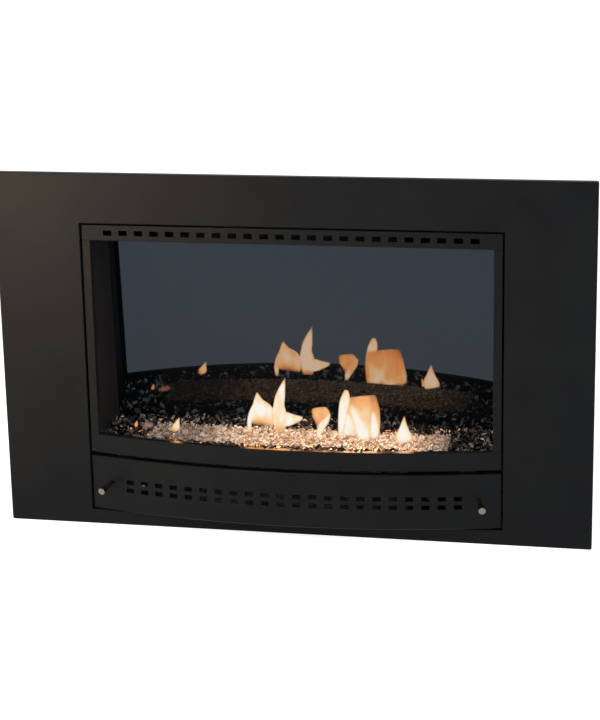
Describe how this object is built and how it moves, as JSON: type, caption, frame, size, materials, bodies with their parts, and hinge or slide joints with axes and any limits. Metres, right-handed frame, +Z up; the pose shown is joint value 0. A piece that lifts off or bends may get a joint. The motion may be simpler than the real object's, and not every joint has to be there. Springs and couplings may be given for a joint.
{
  "type": "gas fireplace insert",
  "caption": "Wide open-fronted gas fireplace insert with a flat surround, bowed lip and slotted drop-down door, mirror-black curved back and a strip of clear crushed glass.",
  "frame": {"origin": "on the hearth, on the centre line, in the plane of the wall face that the surround stands against", "axes": "+X to the right as seen from the room, +Y back into the wall, +Z up"},
  "size_m": [1.02, 0.2854, 0.63],
  "materials": {
    "satin_black": "satin powder coat",
    "polished_steel": "polished",
    "galvanised": "galvanised sheet",
    "zinc_fixings": "zinc plated",
    "firebox_black": "matt high temperature paint",
    "gloss_enamel": "gloss enamel",
    "burner_steel": "plain stainless",
    "clear_glass": "crushed clear glass",
    "black_glass": "crushed black glass",
    "black_plastic": "moulded",
    "red_plastic": "moulded",
    "brass": "turned",
    "cast_alloy": "die cast",
    "white_ceramic": "glazed"
  },
  "bodies": {
    "casing": {"back_panel": "gloss_enamel", "black_glass_bed": "black_glass", "burner_pan": "burner_steel", "burner_venturi": "burner_steel", "casing_back": "galvanised", "casing_base": "galvanised", "casing_left": "galvanised", "casing_right": "galvanised", "casing_top": "galvanised", "clear_glass_strip": "clear_glass", "door_magnets": "black_plastic", "firebox_floor": "firebox_black", "firebox_left": "firebox_black", "firebox_right": "firebox_black", "firebox_top": "firebox_black", "flue_collar": "galvanised", "flue_hood": "firebox_black", "frame_bar_left": "satin_black", "frame_bar_right": "satin_black", "frame_top_bar": "satin_black", "front_lip": "satin_black", "gas_inlet": "brass", "gas_valve": "cast_alloy", "hinge_brackets": "zinc_fixings", "igniter_body": "black_plastic", "injector": "brass", "manifold_pipe": "burner_steel", "pilot_burner": "burner_steel", "pilot_pipe": "burner_steel", "spark_electrode": "white_ceramic", "surround_clips": "galvanised", "surround_panel": "satin_black", "thermocouple": "brass", "valve_bracket": "firebox_black"},
    "door": {"access_door": "satin_black", "door_hinge_lugs": "zinc_fixings", "door_strikes": "zinc_fixings", "pull_knob_left": "polished_steel", "pull_knob_right": "polished_steel"},
    "control": {"control_knob": "black_plastic"},
    "igniter": {"igniter_button": "red_plastic"}
  },
  "joints": [
    {"name": "door_hinge", "type": "hinge", "parent": "casing", "child": "door", "pos_m": [0, -0.016, 0.031], "axis": [1, 0, 0], "range_deg": [0, 54]},
    {"name": "control_turn", "type": "hinge", "parent": "casing", "child": "control", "pos_m": [0.235, 0.06, 0.07], "axis": [0, -1, 0], "range_deg": [0, 240]},
    {"name": "igniter_press", "type": "slide", "parent": "casing", "child": "igniter", "axis": [0, 1, 0], "range_m": [0, 0.005], "stiffness_N_per_m": 600, "springref_m": -0.002}
  ]
}
